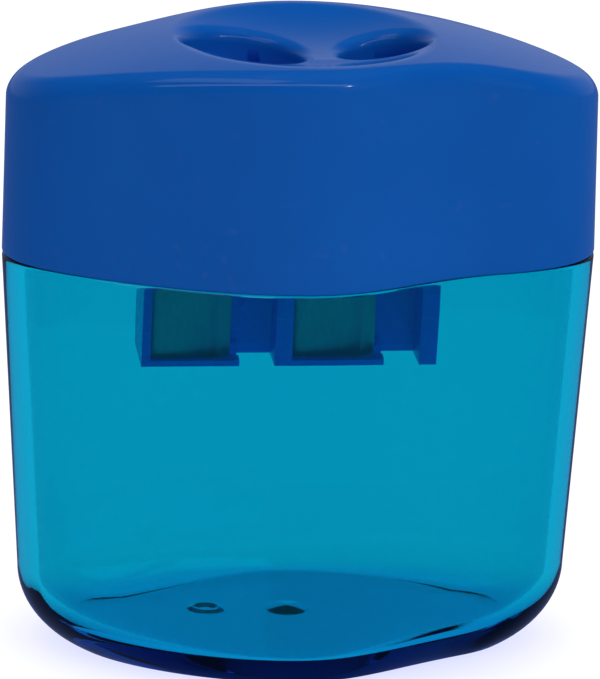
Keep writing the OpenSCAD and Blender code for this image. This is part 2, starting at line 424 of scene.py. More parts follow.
def foot_rings(low, inset, start):
    """Rings of the rounded foot, from its flat up to the wall. The rounding begins at angle start."""
    rings = []
    for step in shares(FOOT_STEPS):
        turn = start + step * (math.pi / 2 - start)
        run = 1 - math.sin(turn)
        height = low + (FOOT_RISE - low) * (1 - math.cos(turn) / math.cos(start))
        along = FOOT_SHARE[0] - (FOOT_ROUND[0] - inset) * run / HALF_LENGTH
        across = FOOT_SHARE[1] - (FOOT_ROUND[1] - inset) * run / (OVAL_BOW + CROWN_RISE)
        rings.append((height, inset, along, across, FLANK_EASE))
    return rings


def flat_rings(edge, steps):
    """Rings from the middle of a flat out to its edge, less the edge itself."""
    height, inset, along, across, ease = edge
    return [(height, inset, along * share, across * share, ease) for share in shares(steps)[:-1]]


def cup_rings():
    """All the rings of the cup: from the middle of its underside, up the outside, over the rim and
    down the inside to the middle of its floor."""
    outside = foot_rings(0, 0, FOOT_START)
    top = SEAM - SHOULDER_ROUND
    outside += [wall_ring(FOOT_RISE + (top - FOOT_RISE) * share, 0) for share in shares(WALL_STEPS)[1:]]
    outside += [
        wall_ring(top + SHOULDER_ROUND * math.sin(turn), SHOULDER_ROUND * (1 - math.cos(turn)))
        for turn in quarter_turns(RIM_STEPS)[1:]
    ]
    outside += [plain_ring(SEAM + up, RIM_INSET - out) for out, up in RIM_FILLET]
    outside += [
        plain_ring(RIM_TOP - RIM_ROUND * (1 - math.sin(turn)), RIM_INSET + RIM_ROUND * (1 - math.cos(turn)))
        for turn in quarter_turns(RIM_STEPS)
    ]
    inside = foot_rings(CUP_FLOOR, CUP_WALL, 0)
    inside += [
        wall_ring(FOOT_RISE + (SEAM - FOOT_RISE) * share, CUP_WALL) for share in shares(WALL_STEPS)[1:]
    ]
    inside += [
        plain_ring(RIM_TOP - RIM_ROUND * (1 - math.sin(turn)), CUP_WALL - RIM_ROUND * (1 - math.cos(turn)))
        for turn in quarter_turns(RIM_STEPS)
    ]
    rings = flat_rings(outside[0], 1) + outside
    return rings + inside[::-1] + flat_rings(inside[0], FLOOR_STEPS)[::-1]


def floor_marks(x, y):
    """Height of the two small round marks on the inside of the floor."""
    stub = math.hypot(x - STUB["place"], y - MARK_ROW, STUB["tip"]) / STUB["radius"]
    away = math.hypot(x - RING_MARK["place"], y - MARK_ROW) - RING_MARK["radius"]
    ring = smooth_step(1 - abs(away) / RING_MARK["width"])
    return STUB["height"] * max(0, 1 - stub) + RING_MARK["height"] * ring


def make_canister(material):
    """The cup, as one sheet that is closed round the oval. The tree follows the rule of oval_point
    with the numbers of each ring."""
    rings = cup_rings()
    sizes = {
        "Turn Points": ROUND_POINTS, "Rings": len(rings), "Half Length": HALF_LENGTH * MM,
        "Bow": OVAL_BOW * MM, "Power": OVAL_POWER, "Crown Rise": CROWN_RISE * MM,
        "Steep Flank": STEEP_FLANK * MM, "Gentle Flank": GENTLE_FLANK * MM,
        "Crown Offset": CROWN_OFFSET * MM, "Crown Fade": CROWN_FADE, "Weld": 1e-7,
    }
    tree, given = start_tree("cup of rings", sizes)

    # One sheet of a unit square: X is the share of a turn and Y is the share of the rings
    columns = add(tree, "ShaderNodeMath", {0: given["Turn Points"], 1: 1.0}, operation="ADD")
    sheet = add(tree, "GeometryNodeMeshGrid", {
        "Size X": 1.0, "Size Y": 1.0, "Vertices X": columns, "Vertices Y": given["Rings"],
    })
    spot = add(tree, "ShaderNodeSeparateXYZ", {0: add(tree, "GeometryNodeInputPosition")}).outputs
    lap = add(tree, "ShaderNodeMath", {0: spot["X"], 1: 0.5}, operation="ADD")
    lap = add(tree, "ShaderNodeMath", {0: lap}, operation="FRACT")
    turn = add(tree, "ShaderNodeMath", {0: lap, 1: math.tau}, operation="MULTIPLY")
    up = add(tree, "ShaderNodeMath", {0: spot["Y"], 1: 0.5}, operation="ADD")
    last = add(tree, "ShaderNodeMath", {0: given["Rings"], 1: 1.0}, operation="SUBTRACT")
    up = add(tree, "ShaderNodeMath", {0: up, 1: last}, operation="MULTIPLY")
    up = add(tree, "ShaderNodeMath", {0: up}, operation="ROUND")
    ring = {}
    for label in ("height", "inset", "along", "across", "ease"):
        field = add(tree, "GeometryNodeInputNamedAttribute", {"Name": label})
        ring[label] = add(tree, "GeometryNodeSampleIndex", {
            "Geometry": given["Points"], "Value": field, "Index": up,
        })

    # The squared oval
    cosine = add(tree, "ShaderNodeMath", {0: turn}, operation="COSINE")
    sine = add(tree, "ShaderNodeMath", {0: turn}, operation="SINE")
    side = add(tree, "ShaderNodeMath", {0: sine}, operation="SIGN")
    half = add(tree, "ShaderNodeMath", {0: given["Half Length"], 1: ring["inset"]}, operation="SUBTRACT")
    bow = add(tree, "ShaderNodeMath", {0: given["Bow"], 1: ring["inset"]}, operation="SUBTRACT")
    long = add(tree, "ShaderNodeMath", {0: half, 1: cosine}, operation="MULTIPLY")
    shell = add(tree, "ShaderNodeMath", {0: cosine}, operation="ABSOLUTE")
    shell = add(tree, "ShaderNodeMath", {0: shell, 1: given["Power"]}, operation="POWER")
    shell = add(tree, "ShaderNodeMath", {0: 1.0, 1: shell}, operation="SUBTRACT", use_clamp=True)
    shell = add(tree, "ShaderNodeMath", {0: shell}, operation="SQRT")

    # The crown on each broad side
    across = add(tree, "ShaderNodeMath", {0: long, 1: side}, operation="MULTIPLY")
    across = add(tree, "ShaderNodeMath", {0: across, 1: given["Crown Offset"]}, operation="SUBTRACT")
    steep = add(tree, "ShaderNodeMath", {0: across, 1: 0.0}, operation="LESS_THAN")
    reach = add(tree, "ShaderNodeMath", {
        0: given["Steep Flank"], 1: given["Gentle Flank"],
    }, operation="SUBTRACT")
    reach = add(tree, "ShaderNodeMath", {
        0: steep, 1: reach, 2: given["Gentle Flank"],
    }, operation="MULTIPLY_ADD")
    reach = add(tree, "ShaderNodeMath", {0: reach, 1: ring["ease"]}, operation="ADD")
    flank = add(tree, "ShaderNodeMath", {0: across, 1: reach}, operation="DIVIDE")
    flank = add(tree, "ShaderNodeMath", {0: flank, 1: 1.0}, operation="MINIMUM")
    flank = add(tree, "ShaderNodeMath", {0: flank, 1: -1.0}, operation="MAXIMUM")
    flank = add(tree, "ShaderNodeMath", {0: flank, 1: math.pi}, operation="MULTIPLY")
    crown = add(tree, "ShaderNodeMath", {0: flank}, operation="COSINE")
    crown = add(tree, "ShaderNodeMath", {0: crown, 1: 0.5, 2: 0.5}, operation="MULTIPLY_ADD")
    crown = add(tree, "ShaderNodeMath", {0: crown, 1: given["Crown Rise"]}, operation="MULTIPLY")
    fade = add(tree, "ShaderNodeMath", {
        0: shell, 1: given["Crown Fade"],
    }, operation="MULTIPLY", use_clamp=True)
    crown = add(tree, "ShaderNodeMath", {0: crown, 1: fade}, operation="MULTIPLY")

    # Both, shrunk to the ring's shares
    wide = add(tree, "ShaderNodeMath", {0: bow, 1: shell, 2: crown}, operation="MULTIPLY_ADD")
    wide = add(tree, "ShaderNodeMath", {0: wide, 1: side}, operation="MULTIPLY")
    wide = add(tree, "ShaderNodeMath", {0: wide, 1: ring["across"]}, operation="MULTIPLY")
    long = add(tree, "ShaderNodeMath", {0: long, 1: ring["along"]}, operation="MULTIPLY")
    place = add(tree, "ShaderNodeCombineXYZ", {"X": long, "Y": wide, "Z": ring["height"]})
    cup = add(tree, "GeometryNodeSetPosition", {"Geometry": sheet, "Position": place})
    cup = add(tree, "GeometryNodeMergeByDistance", {"Geometry": cup, "Distance": given["Weld"]})
    end_tree(tree, given, cup)

    heights, insets, alongs, acrosses, eases = zip(*rings)
    made = run_tree("clear_canister", tree, sizes, material, [(0, 0, 0)] * len(rings), {
        "height": [height * MM for height in heights],
        "inset": [inset * MM for inset in insets],
        "along": alongs,
        "across": acrosses,
        "ease": [ease * MM for ease in eases],
    })
    body = bmesh.new()
    body.from_mesh(made.data)
    bmesh.ops.recalc_face_normals(body, faces=body.faces)
    for vertex in body.verts:
        if math.isclose(vertex.co.z, CUP_FLOOR * MM, abs_tol=1e-6):
            vertex.co.z += floor_marks(vertex.co.x / MM, vertex.co.y / MM) * MM
    body.to_mesh(made.data)
    body.free()
    return made


# --- Lid ------------------------------------------------------------------------------------------

DISH_SINK = DISH_DEPTH - (LID_ARCH + LID_DOME) / 2 * DISH_RADIUS ** 2
DISH_SPHERE = (DISH_RADIUS ** 2 + DISH_SINK ** 2) / (2 * DISH_SINK)
DISH_FLOOR = TOP - DISH_DEPTH

# The part of the top that is meshed closely reaches a little past the dish
BOWL = DISH_RADIUS + 0.95

# Distances between points on the lid's top: in a mouth's rounding, along the dish's lip and elsewhere.
# A mouth has so many points for each millimetre of its radius, and the lip so many rows and points.
MOUTH_SPACING = 0.05
MOUTH_POINTS = 30
MOUTH_STEPS = 9
LIP_SPACING = 0.09
LIP_ROWS = 5
LIP_POINTS = 480
TOP_SPACING = 0.3


def lid_top(x, y):
    """Height of the finished top: the arch, sunk into the dish and rounded into the two mouths."""
    flat = arch(x, y)
    dish = DISH_FLOOR + DISH_SPHERE - math.sqrt(DISH_SPHERE ** 2 - x * x - y * y)
    mix = max(0, min(1, 0.5 + (dish - flat) / DISH_SOFT / 2))
    height = dish + (flat - dish) * mix - DISH_SOFT * mix * (1 - mix)
    for hole in HOLES:
        away = math.hypot(x - hole["place"], y) - hole["bore"] - MOUTH_GAP
        if away < MOUTH_ROUND:
            run = MOUTH_ROUND - max(0, away)
            height -= MOUTH_ROUND - math.sqrt(max(0, MOUTH_ROUND ** 2 - run * run))
    return height


def mouth_circle(hole, grown=0):
    """Points round a mouth, or round a circle that is larger by grown."""
    radius = hole["bore"] + MOUTH_GAP + grown
    return circle(radius, round(radius * MOUTH_POINTS), hole["place"])


def dish_points(loops):
    """Points for the top inside the bowl: close together where it bends, wide apart where it is plain."""
    taken = {}
    kept = []
    cell = 0.5

    def keep(point, gap):
        """Notes the point, unless it is closer than gap to one noted before."""
        x, y = point
        column = math.floor(x / cell)
        row = math.floor(y / cell)
        for i in range(column - 1, column + 2):
            for j in range(row - 1, row + 2):
                for px, py in taken.get((i, j), ()):
                    if (px - x) ** 2 + (py - y) ** 2 < gap * gap:
                        return False
        taken.setdefault((column, row), []).append(point)
        return True

    for loop in loops:
        for point in loop:
            keep(point, 0)
    for turn in quarter_turns(MOUTH_STEPS)[1:]:
        for hole in HOLES:
            for point in mouth_circle(hole, MOUTH_ROUND * (1 - math.cos(turn))):
                if math.hypot(*point) < BOWL - LIP_SPACING and keep(point, MOUTH_SPACING):
                    kept.append(point)
    for row in sorted(range(-LIP_ROWS, LIP_ROWS + 1), key=abs):
        for point in circle(DISH_RADIUS + row * LIP_SPACING, LIP_POINTS):
            if clear_of_mouths(point) and keep(point, 0.9 * LIP_SPACING):
                kept.append(point)
    count = math.ceil(BOWL / TOP_SPACING)
    for i in range(-count, count + 1):
        for j in range(-count, count + 1):
            point = (i * TOP_SPACING, j * TOP_SPACING)
            inside = math.hypot(*point) < BOWL - TOP_SPACING / 2
            if inside and clear_of_mouths(point) and keep(point, 0.75 * TOP_SPACING):
                kept.append(point)
    return kept


def clear_of_mouths(point):
    return all(
        math.hypot(point[0] - hole["place"], point[1]) > hole["bore"] + MOUTH_GAP + 2 * OVERLAP
        for hole in HOLES
    )


def make_lid():
    shape = Shape()
    foot = [
        level(oval(SEAM_BEVEL * (1 - math.sin(turn))), SEAM + SEAM_BEVEL * (1 - math.cos(turn)))
        for turn in quarter_turns(4)
    ]
    brim = arched(oval(0, LID_DRAFT), LID_ROUND)
    wall = [
        [tuple(Vector(a).lerp(Vector(b), share)) for a, b in zip(foot[-1], brim)]
        for share in shares(WALL_STEPS)[1:]
    ]
    round_edge = [
        arched(oval(LID_ROUND * (1 - math.cos(turn)), LID_DRAFT), LID_ROUND * (1 - math.sin(turn)))
        for turn in quarter_turns(EDGE_STEPS)[1:]
    ]
    border = []
    for x, y, _ in round_edge[-1]:
        way = math.atan2(y, x)
        border.append((BOWL * math.cos(way), BOWL * math.sin(way)))
    plain = []
    for share in shares(TOP_STEPS)[1:]:
        ring = [
            (x + (bx - x) * share, y + (by - y) * share)
            for (x, y, _), (bx, by) in zip(round_edge[-1], border)
        ]
        plain.append([(x, y, lid_top(x, y)) for x, y in ring])
    shape.skin(foot + wall + round_edge + plain)
    shape.fan(foot[0], (0, 0, SEAM))
    mouths = [mouth_circle(hole) for hole in HOLES]
    depth = BLOCK_HIGH.z - BELOW
    for hole, loop in zip(HOLES, mouths):
        low = level(loop, depth)
        shape.skin([low, [(x, y, lid_top(x, y)) for x, y in loop]])
        shape.fan(low, (hole["place"], 0, depth))
    shape.patch(border, mouths, dish_points([border, *mouths]), lid_top)
    lid = shape.piece("blue_lid")
    return combine(lid, make_lid_hollow(), "DIFFERENCE")


def make_lid_hollow():
    """The space inside the lid, less the boss over the block and the collar round it."""
    hollow = Shape()
    inner = LID_WALL + LID_INNER_ROUND
    rings = [arched(oval(inner, share * LID_DRAFT), LID_TOP_WALL) for share in shares(WALL_STEPS)[1:]]
    rings += [
        arched(
            oval(inner - LID_INNER_ROUND * math.sin(turn), LID_DRAFT),
            LID_TOP_WALL + LID_INNER_ROUND * (1 - math.cos(turn)),
        )
        for turn in quarter_turns(RIM_STEPS)[1:]
    ]
    rings += [
        level(oval(LID_WALL), SEAM + HOLLOW_BEVEL),
        level(oval(LID_WALL - HOLLOW_BEVEL), SEAM),
        level(oval(LID_WALL - HOLLOW_BEVEL), SEAM - BELOW),
    ]
    hollow.skin(rings)
    hollow.fan(rings[0], (0, 0, TOP - LID_TOP_WALL))
    hollow.fan(rings[-1], (0, 0, SEAM - BELOW))
    room = hollow.piece("lid_hollow")
    boss = turned_shape([(BOSS_RADIUS, BLOCK_HIGH.z), (BOSS_RADIUS, TOP)], 0, name="lid_boss")
    gap = Vector((COLLAR_GAP, COLLAR_GAP, 0))
    wall = Vector((COLLAR_WALL, COLLAR_WALL, 0))
    low = Vector((BLOCK_LOW.x, BLOCK_LOW.y, BLOCK_HIGH.z - COLLAR_DROP)) - gap
    high = Vector((BLOCK_HIGH.x, BLOCK_HIGH.y, BLOCK_HIGH.z + COLLAR_RISE)) + gap
    collar = box_shape(low - wall, high + wall, name="lid_collar")
    soften_edges(collar, COLLAR_ROUND, segments=4)
    combine(collar, boss, "UNION")
    combine(collar, box_shape((low.x, low.y, 0), (high.x, high.y, BLOCK_HIGH.z)), "DIFFERENCE")
    return combine(room, collar, "DIFFERENCE")


# --- Sharpener block ------------------------------------------------------------------------------

def seat(hole):
    """The frame of a blade's seat: X across it, -Y out of the block, Z up the side of the cone."""
    place = Vector((hole["place"], -hole["tip"], BLOCK_LOW.z))
    return Matrix.Translation(place) @ Matrix.Rotation(CONE, 4, "X")


def make_block():
    low = BLOCK_LOW
    high = BLOCK_HIGH
    lean = math.tan(CONE)
    front_low = -LARGE["tip"] - SEAT_DEPTH / math.cos(CONE)
    front_high = front_low - (high.z - low.z) * lean
    outline = [(front_low, low.z), (BLOCK_HEEL, low.z), (high.y, high.z), (front_high, high.z)]
    shape = Shape()
    ends = [[(x, y, z) for y, z in outline] for x in (low.x, high.x)]
    shape.skin(ends)
    shape.add(ends[0], [(0, 1, 2, 3)])
    shape.add(ends[1], [(0, 1, 2, 3)])
    block = shape.piece("block_moulding")
    for hole in HOLES:
        rise = (hole["bore"] - hole["tip"]) / lean
        cone = [
            (hole["tip"] - lean * BELOW, low.z - BELOW),
            (hole["bore"], low.z + rise),
            (hole["bore"], high.z + PAST),
        ]
        combine(block, turned_shape(cone, hole["place"]), "DIFFERENCE")
        boxes = {
            "blade pocket": (
                (-EDGE_OFFSET - BLADE_WIDTH, -PAST, BLADE_LEDGE), (-EDGE_OFFSET + OVERLAP, 0, SEAT_TOP),
            ),
            "chip slot": (
                (-EDGE_OFFSET, -PAST, BLADE_LEDGE), (hole["slot"], SLOT_DEPTH, SLOT_HEIGHT),
            ),
            "slot foot": (
                (LEDGE_REACH - EDGE_OFFSET, -PAST, -PAST),
                (hole["slot"], SLOT_DEPTH, BLADE_LEDGE + OVERLAP),
            ),
        }
        for near, far in boxes.values():
            combine(block, box_shape(near, far, seat(hole)), "DIFFERENCE")
    return soften_edges(block, BLOCK_ROUND)


# --- Blades and screws ----------------------------------------------------------------------------

def put_on_seats(tree, given, mesh):
    """Ends a tree with its mesh on each seat, leaning with the cone."""
    lean = add(tree, "ShaderNodeCombineXYZ", {"X": given["Lean"]})
    seats = add(tree, "GeometryNodeInstanceOnPoints", {
        "Points": given["Points"], "Instance": mesh, "Rotation": lean,
    })
    end_tree(tree, given, seats)


def seat_points():
    return [seat(hole).translation * MM for hole in HOLES]


def make_blades(material):
    """Two ground strips with a bevelled cutting edge and a screw hole, one on each seat."""
    sizes = {
        "Length": BLADE_LENGTH * MM, "Width": BLADE_WIDTH * MM, "Thickness": BLADE_THICKNESS * MM,
        "Bevel": BLADE_BEVEL * MM, "Edge Place": -EDGE_OFFSET * MM, "Ledge": BLADE_LEDGE * MM,
        "Hole Radius": (SCREW_RADIUS + BLADE_HOLE_GAP) * MM, "Hole Place": -SCREW_ACROSS * MM,
        "Hole Up": SCREW_UP * MM, "Lean": CONE,
    }
    tree, given = start_tree("blade strips", sizes)

    size = add(tree, "ShaderNodeCombineXYZ", {
        "X": given["Width"], "Y": given["Thickness"], "Z": given["Length"],
    })
    strip = add(tree, "GeometryNodeMeshCube", {"Size": size})
    across = add(tree, "ShaderNodeMath", {
        0: given["Width"], 1: -0.5, 2: given["Edge Place"],
    }, operation="MULTIPLY_ADD")
    out = add(tree, "ShaderNodeMath", {0: given["Thickness"], 1: -0.5}, operation="MULTIPLY")
    up = add(tree, "ShaderNodeMath", {
        0: given["Length"], 1: 0.5, 2: given["Ledge"],
    }, operation="MULTIPLY_ADD")
    place = add(tree, "ShaderNodeCombineXYZ", {"X": across, "Y": out, "Z": up})
    strip = add(tree, "GeometryNodeTransform", {"Geometry": strip, "Translation": place})

    # The wedge that grinds the bevel: a block hung under the cutting edge and tipped about it
    tall = add(tree, "ShaderNodeMath", {0: given["Length"], 1: 2.0}, operation="MULTIPLY")
    size = add(tree, "ShaderNodeCombineXYZ", {"X": given["Width"], "Y": given["Width"], "Z": tall})
    wedge = add(tree, "GeometryNodeMeshCube", {"Size": size})
    out = add(tree, "ShaderNodeMath", {0: given["Width"], 1: -0.5}, operation="MULTIPLY")
    place = add(tree, "ShaderNodeCombineXYZ", {"Y": out})
    wedge = add(tree, "GeometryNodeTransform", {"Geometry": wedge, "Translation": place})
    slope = add(tree, "ShaderNodeMath", {
        0: given["Thickness"], 1: given["Bevel"],
    }, operation="ARCTAN2")
    place = add(tree, "ShaderNodeCombineXYZ", {"X": given["Edge Place"], "Z": given["Ledge"]})
    tip = add(tree, "ShaderNodeCombineXYZ", {"Z": slope})
    wedge = add(tree, "GeometryNodeTransform", {"Geometry": wedge, "Translation": place, "Rotation": tip})

    depth = add(tree, "ShaderNodeMath", {0: given["Thickness"], 1: 4.0}, operation="MULTIPLY")
    bore = add(tree, "GeometryNodeMeshCylinder", {
        "Vertices": 64, "Radius": given["Hole Radius"], "Depth": depth,
    })
    place = add(tree, "ShaderNodeCombineXYZ", {"X": given["Hole Place"], "Z": given["Hole Up"]})
    bore = add(tree, "GeometryNodeTransform", {
        "Geometry": bore, "Translation": place, "Rotation": (math.pi / 2, 0, 0),
    })

    blade = strip
    for cutter in (wedge, bore):
        blade = add(tree, "GeometryNodeMeshBoolean", {
            "Mesh 1": blade, "Mesh 2": cutter,
        }, operation="DIFFERENCE", solver="MANIFOLD")
    put_on_seats(tree, given, blade)
    made = run_tree("blades", tree, sizes, material, seat_points())
    return soften_edges(made, BLADE_ROUND, angle=15, segments=2)


def make_screws(material):
    """Two cheese-head screws with a cross recess, one through each blade."""
    sizes = {
        "Head Radius": HEAD_RADIUS * MM, "Head Height": HEAD_HEIGHT * MM,
        "Dome Radius": HEAD_RADIUS * HEAD_DOME_SHARE * MM, "Shank Radius": SCREW_RADIUS * MM,
        "Shank Length": (SCREW_DEPTH + BLADE_THICKNESS) * MM, "Recess Length": RECESS_LENGTH * MM,
        "Recess Width": RECESS_WIDTH * MM, "Recess Depth": RECESS_DEPTH * MM,
        "Place": -SCREW_ACROSS * MM, "Up": SCREW_UP * MM, "Seat": -BLADE_THICKNESS * MM, "Lean": CONE,
    }
    tree, given = start_tree("blade screws", sizes)
    height = given["Head Height"]

    disc = add(tree, "GeometryNodeMeshCylinder", {
        "Vertices": 64, "Radius": given["Head Radius"], "Depth": height,
    })
    up = add(tree, "ShaderNodeMath", {0: height, 1: 0.5}, operation="MULTIPLY")
    place = add(tree, "ShaderNodeCombineXYZ", {"Z": up})
    disc = add(tree, "GeometryNodeTransform", {"Geometry": disc, "Translation": place})

    long = add(tree, "ShaderNodeMath", {0: given["Shank Length"], 1: height}, operation="ADD")
    shank = add(tree, "GeometryNodeMeshCylinder", {
        "Vertices": 48, "Radius": given["Shank Radius"], "Depth": long,
    })
    down = add(tree, "ShaderNodeMath", {0: height, 1: given["Shank Length"]}, operation="SUBTRACT")
    down = add(tree, "ShaderNodeMath", {0: down, 1: 0.5}, operation="MULTIPLY")
    place = add(tree, "ShaderNodeCombineXYZ", {"Z": down})
    shank = add(tree, "GeometryNodeTransform", {"Geometry": shank, "Translation": place})

    # A large ball that crowns the head
    dome = add(tree, "GeometryNodeMeshUVSphere", {
        "Segments": 64, "Rings": 64, "Radius": given["Dome Radius"],
    })
    down = add(tree, "ShaderNodeMath", {0: height, 1: given["Dome Radius"]}, operation="SUBTRACT")
    place = add(tree, "ShaderNodeCombineXYZ", {"Z": down})
    dome = add(tree, "GeometryNodeTransform", {"Geometry": dome, "Translation": place})

    # The cross recess, as two slabs
    depth = add(tree, "ShaderNodeMath", {0: given["Recess Depth"], 1: 2.0}, operation="MULTIPLY")
    size = add(tree, "ShaderNodeCombineXYZ", {
        "X": given["Recess Length"], "Y": given["Recess Width"], "Z": depth,
    })
    slab = add(tree, "GeometryNodeMeshCube", {"Size": size})
    place = add(tree, "ShaderNodeCombineXYZ", {"Z": height})
    slab = add(tree, "GeometryNodeTransform", {"Geometry": slab, "Translation": place})
    crossed = add(tree, "GeometryNodeTransform", {"Geometry": slab, "Rotation": (0, 0, math.pi / 2)})

    screw = add(tree, "GeometryNodeMeshBoolean", {
        "Mesh 2": [disc, shank],
    }, operation="UNION", solver="MANIFOLD")
    screw = add(tree, "GeometryNodeMeshBoolean", {
        "Mesh 2": [dome, screw],
    }, operation="INTERSECT", solver="MANIFOLD")
    for cutter in (slab, crossed):
        screw = add(tree, "GeometryNodeMeshBoolean", {
            "Mesh 1": screw, "Mesh 2": cutter,
        }, operation="DIFFERENCE", solver="MANIFOLD")
    place = add(tree, "ShaderNodeCombineXYZ", {"X": given["Place"], "Y": given["Seat"], "Z": given["Up"]})
    screw = add(tree, "GeometryNodeTransform", {
        "Geometry": screw, "Translation": place, "Rotation": (math.pi / 2, 0, 0),
    })
    put_on_seats(tree, given, screw)
    made = run_tree("blade_screws", tree, sizes, material, seat_points())
    return soften_edges(made, SCREW_ROUND, angle=25, segments=2)


# --- Materials ------------------------------------------------------------------------------------

# A colour Mix node's sockets: its share, the colours at no share and at full share, and the mixed one
MIX_SHARE = 0
MIX_FROM = 6
MIX_TO = 7
MIXED = 2


def start_material(name):
    """A material with an empty node tree, and Object coordinates in metres."""
    made = bpy.data.materials.new(name)
    made.use_nodes = True
    made.node_tree.nodes.clear()
    place = add(made.node_tree, "ShaderNodeTexCoord").outputs["Object"]
    return made, made.node_tree, place


def moulded_plastic(name, dark, light, gloss):
    """Injection-moulded polystyrene: an even colour with a faint mottle from the flow, 14 mm across.
    Orange peel, drawn as coarse as 1.6 mm to show, and hair scratches 9 mm long break up the gloss."""
    made, tree, place = start_material(name)
    flow = add(tree, "ShaderNodeTexNoise", {"Vector": place, "Scale": 1 / (14 * MM), "Detail": 3})
    share = add(tree, "ShaderNodeMapRange", {"Value": flow, "From Min": 0.3, "From Max": 0.7})
    tint = add(tree, "ShaderNodeMix", {
        MIX_SHARE: share, MIX_FROM: linear(dark), MIX_TO: linear(light),
    }, data_type="RGBA").outputs[MIXED]
    stretch = add(tree, "ShaderNodeMapping", {
        "Vector": place, "Rotation": (0.3, 0.5, 0.7), "Scale": (1, 22, 9),
    })
    hair = add(tree, "ShaderNodeTexNoise", {"Vector": stretch, "Scale": 1 / (9 * MM), "Detail": 4})
    scratch = add(tree, "ShaderNodeMapRange", {
        "Value": hair, "From Min": 0.62, "From Max": 0.7, "To Min": gloss, "To Max": gloss + 0.12,
    })
    peel = add(tree, "ShaderNodeTexNoise", {"Vector": place, "Scale": 1 / (1.6 * MM), "Detail": 2})
    bump = add(tree, "ShaderNodeBump", {"Height": peel, "Strength": 0.12, "Distance": 0.02 * MM})
    shader = add(tree, "ShaderNodeBsdfPrincipled", {
        "Base Color": tint, "Roughness": scratch, "IOR": 1.5, "Normal": bump,
    })
    add(tree, "ShaderNodeOutputMaterial", {"Surface": shader})
    return made


def clear_plastic():
    """Clear polystyrene dyed cyan. Part of the dye shows at the surface and part in the depth of the
    wall, so the thin wall is a bright teal and the thick foot turns navy. A faint waviness from the
    mould, 7 mm from crest to crest, moves what is seen through it."""
    made, tree, place = start_material("clear cyan polystyrene")
    ripple = add(tree, "ShaderNodeTexNoise", {"Vector": place, "Scale": 1 / (7 * MM), "Detail": 1})
    bump = add(tree, "ShaderNodeBump", {"Height": ripple, "Strength": 0.25, "Distance": 0.03 * MM})
    shader = add(tree, "ShaderNodeBsdfPrincipled", {
        "Base Color": linear("#28D7DF"), "Roughness": 0.0, "IOR": 1.5, "Transmission Weight": 1.0,
        "Normal": bump,
    })
    dye = add(tree, "ShaderNodeVolumeAbsorption", {"Color": linear("#00E6F5"), "Density": 600.0})
    add(tree, "ShaderNodeOutputMaterial", {"Surface": shader, "Volume": dye})
    return made


def ground_steel():
    """Hardened carbon steel ground along the strip. The lines are 9 mm long and 0.3 mm apart, which is
    as fine as shows, and give the flat a soft sheen that is a little darker in places."""
    made, tree, place = start_material("ground blade steel")
    stretch = add(tree, "ShaderNodeMapping", {"Vector": place, "Scale": (30, 30, 1)})
    grain = add(tree, "ShaderNodeTexNoise", {"Vector": stretch, "Scale": 1 / (9 * MM), "Detail": 5})
    share = add(tree, "ShaderNodeMapRange", {"Value": grain, "From Min": 0.3, "From Max": 0.7})
    tint = add(tree, "ShaderNodeMix", {
        MIX_SHARE: share, MIX_FROM: linear("#7E8387"), MIX_TO: linear("#898E92"),
    }, data_type="RGBA").outputs[MIXED]
    rough = add(tree, "ShaderNodeMapRange", {"Value": grain, "To Min": 0.3, "To Max": 0.42})
    bump = add(tree, "ShaderNodeBump", {"Height": grain, "Strength": 0.08, "Distance": 0.01 * MM})
    shader = add(tree, "ShaderNodeBsdfPrincipled", {
        "Base Color": tint, "Metallic": 1.0, "Roughness": rough, "Normal": bump,
    })
    add(tree, "ShaderNodeOutputMaterial", {"Surface": shader})
    return made


def plated_steel():
    """Zinc-plated screw: bright, with a slight yellow and grey bloom in patches of 1.2 mm."""
    made, tree, place = start_material("zinc plated screw")
    bloom = add(tree, "ShaderNodeTexNoise", {"Vector": place, "Scale": 1 / (1.2 * MM), "Detail": 4})
    share = add(tree, "ShaderNodeMapRange", {"Value": bloom, "From Min": 0.3, "From Max": 0.7})
    tint = add(tree, "ShaderNodeMix", {
        MIX_SHARE: share, MIX_FROM: linear("#A8A499"), MIX_TO: linear("#C6C6C2"),
    }, data_type="RGBA").outputs[MIXED]
    rough = add(tree, "ShaderNodeMapRange", {"Value": bloom, "To Min": 0.2, "To Max": 0.4})
    shader = add(tree, "ShaderNodeBsdfPrincipled", {
        "Base Color": tint, "Metallic": 1.0, "Roughness": rough,
    })
    add(tree, "ShaderNodeOutputMaterial", {"Surface": shader})
    return made


def light_table():
    """White acrylic light table: matt, with a faint mottle, and glowing from beneath. The glow is painted
    weaker and bluer in the middle, where the object stands: a painted shadow with a painted blue cast."""
    made, tree, place = start_material("matt white light table")
    mottle = add(tree, "ShaderNodeTexNoise", {"Vector": place, "Scale": 1 / (60 * MM), "Detail": 3})
    tint = add(tree, "ShaderNodeMix", {
        MIX_SHARE: mottle, MIX_FROM: linear("#5C5C5C"), MIX_TO: linear("#626262"),
    }, data_type="RGBA").outputs[MIXED]
    # Painted shadow under the object: the glow turns dimmer and bluer towards the middle
    stretch = add(tree, "ShaderNodeMapping", {"Vector": place, "Scale": (0.7, 1, 1)})
    away = add(tree, "ShaderNodeVectorMath", {0: stretch}, operation="LENGTH")
    edge = add(tree, "ShaderNodeMapRange", {
        "Value": away.outputs["Value"], "From Min": 12 * MM, "From Max": 25 * MM,
    }, interpolation_type="SMOOTHSTEP")
    glow_and_painted_shadow = add(tree, "ShaderNodeMix", {
        MIX_SHARE: edge, MIX_FROM: linear("#D8DBFF"), MIX_TO: linear("#FBFBFB"),
    }, data_type="RGBA").outputs[MIXED]
    shader = add(tree, "ShaderNodeBsdfPrincipled", {
        "Base Color": tint, "Roughness": 0.8, "Specular IOR Level": 0.0, "Emission Color": glow_and_painted_shadow,
        "Emission Strength": 1.0,
    })
    add(tree, "ShaderNodeOutputMaterial", {"Surface": shader})
    return made


# --- Assembly -------------------------------------------------------------------------------------

